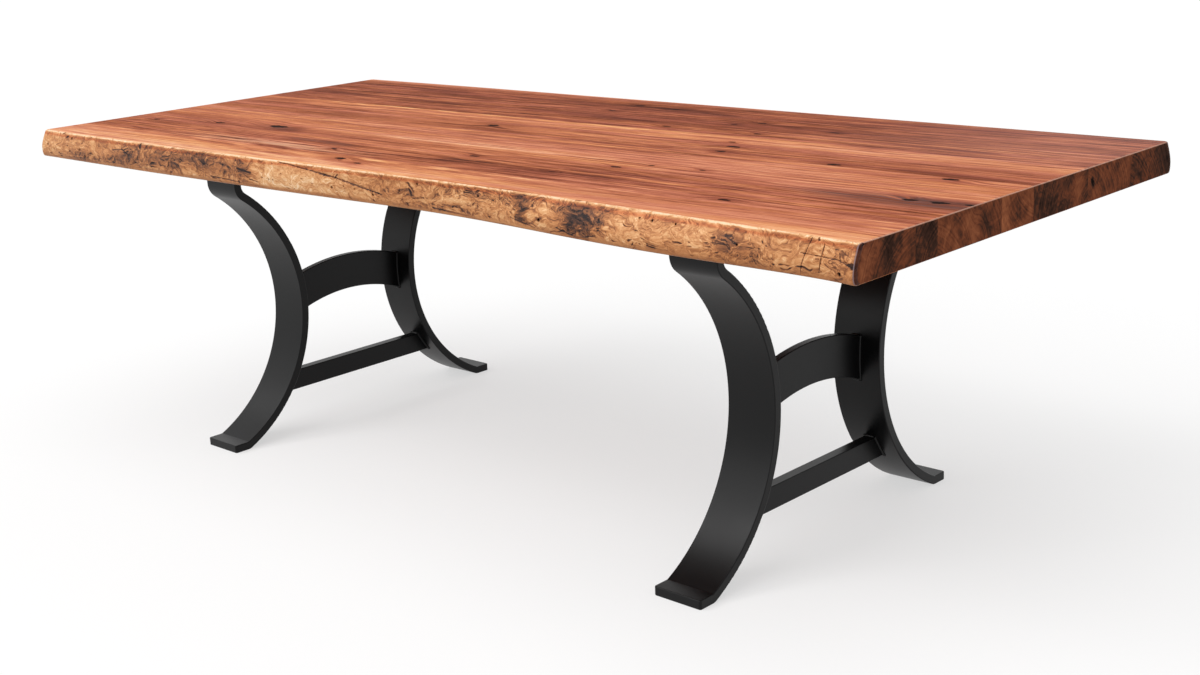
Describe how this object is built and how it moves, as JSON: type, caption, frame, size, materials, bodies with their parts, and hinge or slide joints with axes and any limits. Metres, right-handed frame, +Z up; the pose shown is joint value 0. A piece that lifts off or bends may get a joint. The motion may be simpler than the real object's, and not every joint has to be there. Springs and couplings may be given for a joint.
{
  "type": "dining table",
  "caption": "Live edge dining table: a thick glued-up walnut top with wandering natural edges on two flared flat-bar steel bases with arched rails.",
  "frame": {"origin": "on the floor, under the middle of the table", "axes": "+X along the table towards its right end, +Y across it from the front live edge to the back one, +Z up"},
  "size_m": [2.438, 1.1181, 0.762],
  "materials": {
    "walnut": "satin oiled walnut with sapwood along the live edges",
    "powder_coat": "satin black powder coat",
    "zinc_plated_steel": "bright zinc plating",
    "brass": "machined brass"
  },
  "bodies": {
    "root": {"front_live_edge_board": "walnut", "inner_board_1": "walnut", "inner_board_2": "walnut", "inner_board_3": "walnut", "inner_board_4": "walnut", "inner_board_5": "walnut", "back_live_edge_board": "walnut", "left_front_leg": "powder_coat", "left_back_leg": "powder_coat", "left_arched_rail": "powder_coat", "left_lower_rail": "powder_coat", "left_mounting_plate": "powder_coat", "left_mounting_bolts": "zinc_plated_steel", "left_washers": "zinc_plated_steel", "left_threaded_inserts": "brass", "right_front_leg": "powder_coat", "right_back_leg": "powder_coat", "right_arched_rail": "powder_coat", "right_lower_rail": "powder_coat", "right_mounting_plate": "powder_coat", "right_mounting_bolts": "zinc_plated_steel", "right_washers": "zinc_plated_steel", "right_threaded_inserts": "brass"}
  },
  "joints": []
}
